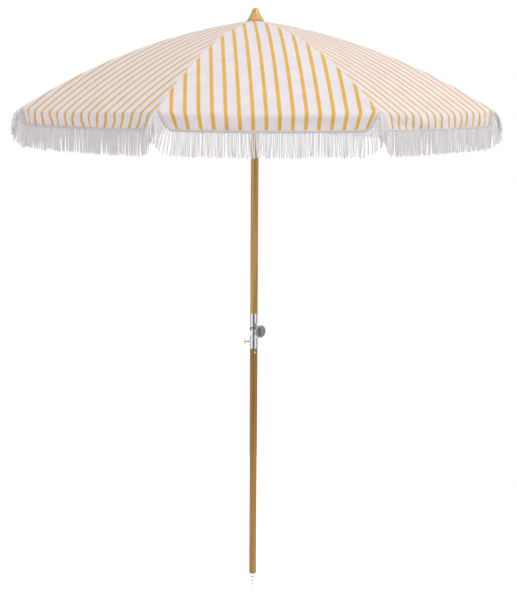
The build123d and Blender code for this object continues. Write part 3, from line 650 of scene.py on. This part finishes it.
def flap_border():
    """The flap's free edge as (half width, depth), from the rib tip round the corner to the middle.

    The points of the lower edge crowd together towards the corner.
    """
    points = []
    for i in range(BORDER_SIDE_STEPS):
        depth = flap_depth(1.0) * i / BORDER_SIDE_STEPS
        points.append((flap_half_width(1.0, depth / FLAP_HEIGHT), depth))
    for i in range(BORDER_FOOT_STEPS + 1):
        share = 1 - (i / BORDER_FOOT_STEPS) ** BORDER_CROWDING if i < BORDER_FOOT_STEPS else 0.0
        depth = flap_depth(share)
        points.append((flap_half_width(share, depth / FLAP_HEIGHT), depth))
    return np.array(points)


def border_walk(points):
    """Distance along the border and its outward normal at each point."""
    step = np.gradient(points, axis=0)
    length = np.hypot(step[:, 0], step[:, 1])
    normal = np.stack([step[:, 1], -step[:, 0]], 1) / length[:, None]
    travelled = np.concatenate([[0], np.cumsum(np.hypot(*np.diff(points, axis=0).T))])
    return travelled, normal


BORDER = flap_border()
BORDER_RUN, BORDER_NORMAL = border_walk(BORDER)
SPLIT_SHARE = 1 - SIDE_STRIP / HEM_HALF_WIDTH
SPLIT_RUN = BORDER_RUN[np.argmin(abs(BORDER[:, 0] - flap_half_width(SPLIT_SHARE, 1.0)))]


def at_run(distance):
    """(half width, depth, outward normal) at a distance along the border."""
    q = np.interp(distance, BORDER_RUN, BORDER[:, 0])
    depth = np.interp(distance, BORDER_RUN, BORDER[:, 1])
    normal = np.array([np.interp(distance, BORDER_RUN, BORDER_NORMAL[:, i]) for i in (0, 1)])
    return q, depth, normal / np.hypot(*normal)


def tape_rows(panel, side, start, end):
    """Rows of the tape folded round the free edge, seen as a closed flat tube."""
    steps = max(6, int(round((end - start) / TAPE_STEP)))
    fold = TAPE_OUTSIDE - TAPE_FOLD
    outline = [(-TAPE_INSIDE, TAPE_HALF_THICKNESS), (fold, TAPE_FOLD_HALF_THICKNESS), (TAPE_OUTSIDE, 0.0)]
    outline += [(fold, -TAPE_FOLD_HALF_THICKNESS), (-TAPE_INSIDE, -TAPE_HALF_THICKNESS)]
    out = panel_axes(panel_azimuth(panel))[0]
    rows = []
    for step in range(steps + 1):
        distance = start + (end - start) * step / steps
        q, depth, normal = at_run(distance)
        row = []
        for reach, stand in outline + outline[:1]:
            edge_q, edge_depth = q + normal[0] * reach, depth + normal[1] * reach
            place = flap_point(panel, -side * edge_q, max(0.0, edge_depth)) + out * stand
            row.append((place, (reach + TAPE_INSIDE, distance, 0.0)))
        rows.append(row)
    return rows


def strand_line(panel, side, rib, distance, seed):
    """The centre line of one twisted strand, and its length along the border."""
    q, depth, normal = at_run(distance)
    root_q, root_depth = q + normal[0] * STRAND_ROOT, depth + normal[1] * STRAND_ROOT
    start = flap_point(panel, -side * root_q, max(0.0, root_depth))
    out, across = panel_axes(panel_azimuth(panel))
    radial = Vector((cos(RIB_AZIMUTHS[rib]), sin(RIB_AZIMUTHS[rib]), 0))
    sideways = max(0.0, normal[0]) ** SPLAY_GROWTH
    # Neighbours drift together, and each half panel has its own place in the noise.
    drift = noise.noise(Vector((distance * DRIFT_DENSITY, panel * 3.7, side * 5.0)))
    flutter = seed.uniform(-1, 1)
    length = FRINGE_LENGTH * (1 + STRAND_LENGTH_SPREAD * seed.uniform(-1, 1))
    splay = (across * (-side) * SPLAY_ALONG_HEM + radial * SPLAY_OUTWARDS).normalized() * sideways * SPLAY
    swing = across * (DRIFT_ALONG_HEM * drift + FLUTTER * flutter)
    swing += out * (DRIFT_OUTWARDS * drift + FLUTTER * seed.uniform(-1, 1))
    points = []
    for i in range(STRAND_SECTIONS):
        t = i / (STRAND_SECTIONS - 1)
        fall = t * (1 - SPLAY_LIFT * sideways) + SPLAY_DROOP * sideways * t * t
        away = splay * (1 - exp(-SPLAY_CURL * t)) / (1 - exp(-SPLAY_CURL))
        points.append(start + (away + swing * t * t - Vector((0, 0, 1)) * fall) * length)
    return points


def strand_mesh(points, phase, places, faces):
    """Adds a two-ply twisted strand along the points."""
    base = len(places)
    line = np.array([tuple(p) for p in points])
    direction = np.gradient(line, axis=0)
    direction /= np.linalg.norm(direction, axis=1)[:, None]
    level = np.array([1.0, 0.3, 0.0])
    first = np.cross(direction, level)
    first /= np.linalg.norm(first, axis=1)[:, None]
    second = np.cross(direction, first)
    run = np.concatenate([[0], np.cumsum(np.linalg.norm(np.diff(line, axis=0), axis=1))])
    turn = 2 * pi * run / STRAND_TWIST + phase
    around = np.arange(STRAND_SIDES) * 2 * pi / STRAND_SIDES
    size = STRAND_RADIUS * (1 + STRAND_PLY_DEPTH * np.cos(2 * (around[None, :] - turn[:, None])))
    size[-1] *= STRAND_TIP_SHARE
    ring = (
        line[:, None, :]
        + first[:, None, :] * (np.cos(around) * size)[:, :, None]
        + second[:, None, :] * (np.sin(around) * size)[:, :, None]
    )
    places.extend(map(tuple, ring.reshape(-1, 3)))
    n = STRAND_SIDES
    for row in range(len(points) - 1):
        for i in range(n):
            j = (i + 1) % n
            a, b = base + row * n, base + (row + 1) * n
            faces.append((a + i, a + j, b + j, b + i))
    faces.append(tuple(base + i for i in range(n))[::-1])
    last = base + (len(points) - 1) * n
    faces.append(tuple(last + i for i in range(n)))


def half_flap(rib, side):
    """The cloth, tape and fringe of the half flap on one side of a rib."""
    panel = rib if side > 0 else rib - 1
    word = "left" if side > 0 else "right"
    number = rib + 1
    seed = np.random.default_rng(100 * number + side)
    parts = (
        ("near", SPLIT_SHARE, 1.0, 0.0, SPLIT_RUN),
        ("far", 0.0, SPLIT_SHARE, SPLIT_RUN, BORDER_RUN[-1]),
    )
    for strip, low, high, start, end in parts:
        rows = flap_rows(panel % RIB_COUNT, side, low, high)
        if side > 0:
            rows = [row[::-1] for row in rows]
        places, faces, pattern = grid(rows)
        cloth = make_piece(f"flap_{number}_{word}_{strip}", places, faces, CLOTH_LOOK, pattern, CLOTH)
        tape_places, tape_faces, tape_pattern = grid(tape_rows(panel % RIB_COUNT, side, start, end))
        tape_name = f"tape_{number}_{word}_{strip}"
        tape = make_piece(tape_name, tape_places, tape_faces, TAPE_LOOK_WITH_PAINTED_SHADE, tape_pattern)
        strand_places, strand_faces = [], []
        count = int((end - start) / STRAND_PITCH)
        for i in range(count):
            place = i + 0.5 + STRAND_PLACE_SPREAD * seed.uniform(-1, 1)
            distance = start + place * (end - start) / count
            line = strand_line(panel % RIB_COUNT, side, rib, distance, seed)
            strand_mesh(line, seed.uniform(0, 2 * pi), strand_places, strand_faces)
        fringe = make_piece(f"fringe_{number}_{word}_{strip}", strand_places, strand_faces, FRINGE_LOOK)
        for piece, look in ((cloth, "canopy_cloth"), (tape, "fringe_cotton"), (fringe, "fringe_cotton")):
            gather(piece, rib, strip)
            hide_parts(f"valance_{number}")


# ---------------------------------------------------------------- apex cap
CAP_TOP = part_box("apex_patch")[1][2]


def apex_cap():
    """The small cloth cap under the finial, over the ends of the eight sectors."""
    radius, rings, spokes = 0.034, 9, 64
    hole = 0.005
    above_cloth = 0.0016
    flat_middle = HOLE_RADIUS * 0.2
    rows = []
    for ring in range(rings + 1):
        r = hole + (radius - hole) * ring / rings
        row = []
        for spoke in range(spokes + 1):
            angle = 2 * pi * (spoke % spokes) / spokes
            corner = (angle % (2 * HALF_PANEL)) - HALF_PANEL
            panel_r = r * cos(corner) / cos(HALF_PANEL)
            height = arc_height(max(flat_middle, panel_r)) + above_cloth
            place = Vector((r * cos(angle), r * sin(angle), min(height, CAP_TOP)))
            mark = (r * cos(angle) + STRIPE_PITCH / 2 + STRIPE_OFFSET, r * sin(angle), 0.0)
            row.append((place, mark))
        rows.append(row)
    places, faces, pattern = grid(rows)
    # The cap uses the tape's cloth, whose grey is painted shade.
    cap = make_piece("apex_cap", places, faces, TAPE_LOOK_WITH_PAINTED_SHADE, pattern, CLOTH)
    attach(cap, "mast")
    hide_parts("apex_patch")


# ---------------------------------------------------------------- ground spike
def ground_spike():
    """The plated spike with its coarse screw thread."""
    low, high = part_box("ground_spike")
    pole_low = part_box("lower_pole")[0][2]
    radius = (high[0] - low[0]) / 2
    tip, shoulder = 0.004, pole_low - 0.005
    pitch, depth = 0.017, 0.0030
    tip_fade, shoulder_fade = 0.012, 0.006
    sides, rings = 72, 190
    rows = []
    for ring in range(rings + 1):
        z = pole_low * ring / rings
        row = []
        for side in range(sides + 1):
            angle = 2 * pi * (side % sides) / sides
            if z < tip:
                r = sqrt(max(0.0, tip**2 - (tip - z) ** 2))
            else:
                r = tip + (radius - tip) * min(1.0, (z - tip) / (shoulder - tip))
            turn = ((z - shoulder) / pitch + angle / (2 * pi)) % 1.0
            groove = sin(pi * turn) ** 2 if z < shoulder else 0.0
            fade = min(1.0, max(0.0, z - tip) / tip_fade)
            fade *= min(1.0, max(0.0, shoulder - z) / shoulder_fade)
            r -= depth * groove * fade
            row.append((Vector((r * cos(angle), r * sin(angle), z)), (0.0, 0.0, 0.0)))
        rows.append(row)
    top = [(Vector((0, 0, pole_low)), (0.0, 0.0, 0.0))] * (sides + 1)
    rows.append(top)
    places, faces, _ = grid(rows)
    spike = make_piece("ground_spike_threaded", places, faces, CHROME)
    rounded_end = 0.001
    for polygon in spike.data.polygons:
        polygon.use_smooth = len(polygon.vertices) == 4 or polygon.center.z < rounded_end
    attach(spike, "lower_pole")
    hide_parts("ground_spike")


# ---------------------------------------------------------------- studio
def camera():
    """The photograph's view: about four metres away, a little above the rim, looking slightly down."""
    distance, height = 3.9406, 1.9929
    azimuth, turn, pitch, roll = (radians(a) for a in (-92.905, -0.2513, 11.338, 0.35))
    data = bpy.data.cameras.new("camera")
    data.sensor_width = 36.0
    data.lens = 62.922
    item = bpy.data.objects.new("camera", data)
    bpy.context.scene.collection.objects.link(item)
    ahead = Vector((-cos(azimuth + turn) * cos(pitch), -sin(azimuth + turn) * cos(pitch), -sin(pitch)))
    right = ahead.cross(Vector((0, 0, 1))).normalized()
    up = right.cross(ahead)
    right, up = right * cos(roll) + up * sin(roll), up * cos(roll) - right * sin(roll)
    place = Vector((distance * cos(azimuth), distance * sin(azimuth), height))
    turned = Matrix((right, up, -ahead)).transposed().to_4x4()
    item.matrix_world = Matrix.Translation(place) @ turned
    bpy.context.scene.camera = item


def area_light(name, place, target, size, power, colour=(1, 1, 1)):
    """A round soft light at a place, turned towards the target."""
    data = bpy.data.lights.new(name, "AREA")
    data.shape = "DISK"
    data.size = size
    data.energy = power
    data.color = colour
    lamp = bpy.data.objects.new(name, data)
    bpy.context.scene.collection.objects.link(lamp)
    lamp.location = place
    lamp.rotation_euler = (Vector(target) - Vector(place)).to_track_quat("-Z", "Y").to_euler()


FLOOR_RADIUS = 1.6
FLOOR_SIDES = 96
# Brightness of the studio's walls, by degrees to the right of the direction in front of the umbrella.
# The white paper hangs behind it, and the grey stretches give the chrome its dark bands.
STUDIO_WALLS = [
    (-180, 1.0), (-156, 1.0), (-150, 0.25), (-118, 0.25), (-104, 1.0), (-42, 0.95), (-26, 0.16),
    (14, 0.16), (28, 1.15), (56, 1.15), (66, 0.28), (88, 0.32), (94, 0.9), (110, 0.9), (120, 0.30),
    (146, 0.30), (152, 1.0), (180, 1.0),
]


def studio():
    """A pale floor, white paper behind, grey and white walls and soft light from the upper right."""
    scene = bpy.context.scene
    scene.view_settings.view_transform = "Standard"
    mesh = bpy.data.meshes.new("floor")
    corners = [2 * pi * i / FLOOR_SIDES for i in range(FLOOR_SIDES)]
    rim = [(FLOOR_RADIUS * cos(a), FLOOR_RADIUS * sin(a), 0) for a in corners]
    mesh.from_pydata(rim, [], [range(FLOOR_SIDES)])
    floor = bpy.data.objects.new("floor", mesh)
    scene.collection.objects.link(floor)
    material, nodes, links = new_material("floor")
    speck = noise_node(nodes, links, object_coordinates(nodes), 3.0)
    shader = shader_of(nodes)
    pale = ramp_node(nodes, links, speck, [(0.3, (0.80, 0.80, 0.80)), (0.7, (0.83, 0.83, 0.83))])
    links.new(pale, shader.inputs["Base Color"])
    shader.inputs["Roughness"].default_value = 1.0
    shader.inputs["Specular IOR Level"].default_value = 0.0
    shader.inputs["Emission Color"].default_value = (1, 1, 1, 1)
    shader.inputs["Emission Strength"].default_value = 0.75
    mesh.materials.append(material)

    world = bpy.data.worlds.new("studio")
    scene.world = world
    world.use_nodes = True
    nodes, links = world.node_tree.nodes, world.node_tree.links
    nodes.clear()
    output = nodes.new("ShaderNodeOutputWorld")
    surround = nodes.new("ShaderNodeBackground")
    split = nodes.new("ShaderNodeSeparateXYZ")
    links.new(nodes.new("ShaderNodeTexCoord").outputs["Generated"], split.inputs[0])
    front = math_node(nodes, links, "MULTIPLY", split.outputs[1], -1.0)
    angle = math_node(nodes, links, "ARCTAN2", split.outputs[0], front)
    around = math_node(nodes, links, "MULTIPLY_ADD", angle, 0.5 / pi, 0.5)
    stops = [(right / 360 + 0.5, (level, level, level)) for right, level in STUDIO_WALLS]
    links.new(ramp_node(nodes, links, around, stops), surround.inputs["Color"])
    links.new(surround.outputs[0], output.inputs[0])

    area_light("key", (3.0, -2.4, 5.6), (0, 0, 1.8), 2.4, 128, (1.0, 0.985, 0.97))
    area_light("fill", (-4.0, -3.5, 2.2), (0, 0, 1.6), 3.0, 38, (0.97, 0.96, 1.0))


camera()
studio()
finish_cad_nodes()
for rib in range(RIB_COUNT):
    canopy_sector(rib)
    half_flap(rib, 1)
    half_flap(rib, -1)
apex_cap()
ground_spike()
